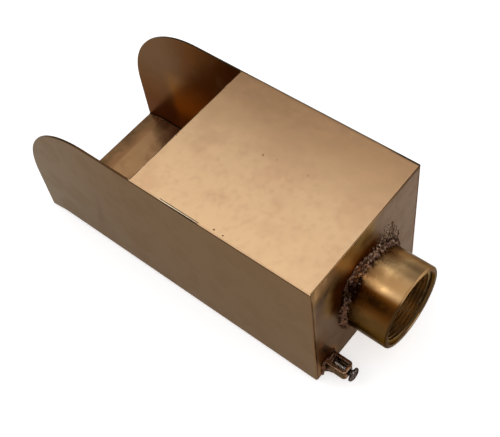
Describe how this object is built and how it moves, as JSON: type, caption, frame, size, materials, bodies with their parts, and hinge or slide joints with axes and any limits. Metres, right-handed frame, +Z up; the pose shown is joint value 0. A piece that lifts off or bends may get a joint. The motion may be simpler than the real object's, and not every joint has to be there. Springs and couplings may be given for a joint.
{
  "type": "wall scupper",
  "caption": "Open-fronted sheet metal spout box with rounded side cheeks, flush cover, threaded rear inlet collar and a small earthing clamp.",
  "frame": {"origin": "where the inlet's axis meets the end plate's outer face", "axes": "+X along the inlet's axis towards the lip, the way the water runs; +Y to the left side; +Z up"},
  "size_m": [0.2572, 0.1016, 0.1045],
  "materials": {
    "trough_sheet": "satin, softly mottled copper alloy sheet",
    "cover_sheet": "satin, softly mottled copper alloy sheet",
    "end_sheet": "satin sheet with brown heat tint",
    "turned_brass": "turned, satin",
    "weld_metal": "rough, sooty, with bright specks",
    "lug_strip": "bare strip, dulled by heat",
    "screw_steel": "bright steel",
    "braze_metal": "rough, brown with flux"
  },
  "bodies": {
    "root": {"trough": "trough_sheet", "top_plate": "cover_sheet", "end_plate": "end_sheet", "inlet_coupling": "turned_brass", "coupling_weld": "weld_metal", "bonding_lug": "lug_strip", "lug_screw": "screw_steel", "lug_braze": "braze_metal"}
  },
  "joints": []
}
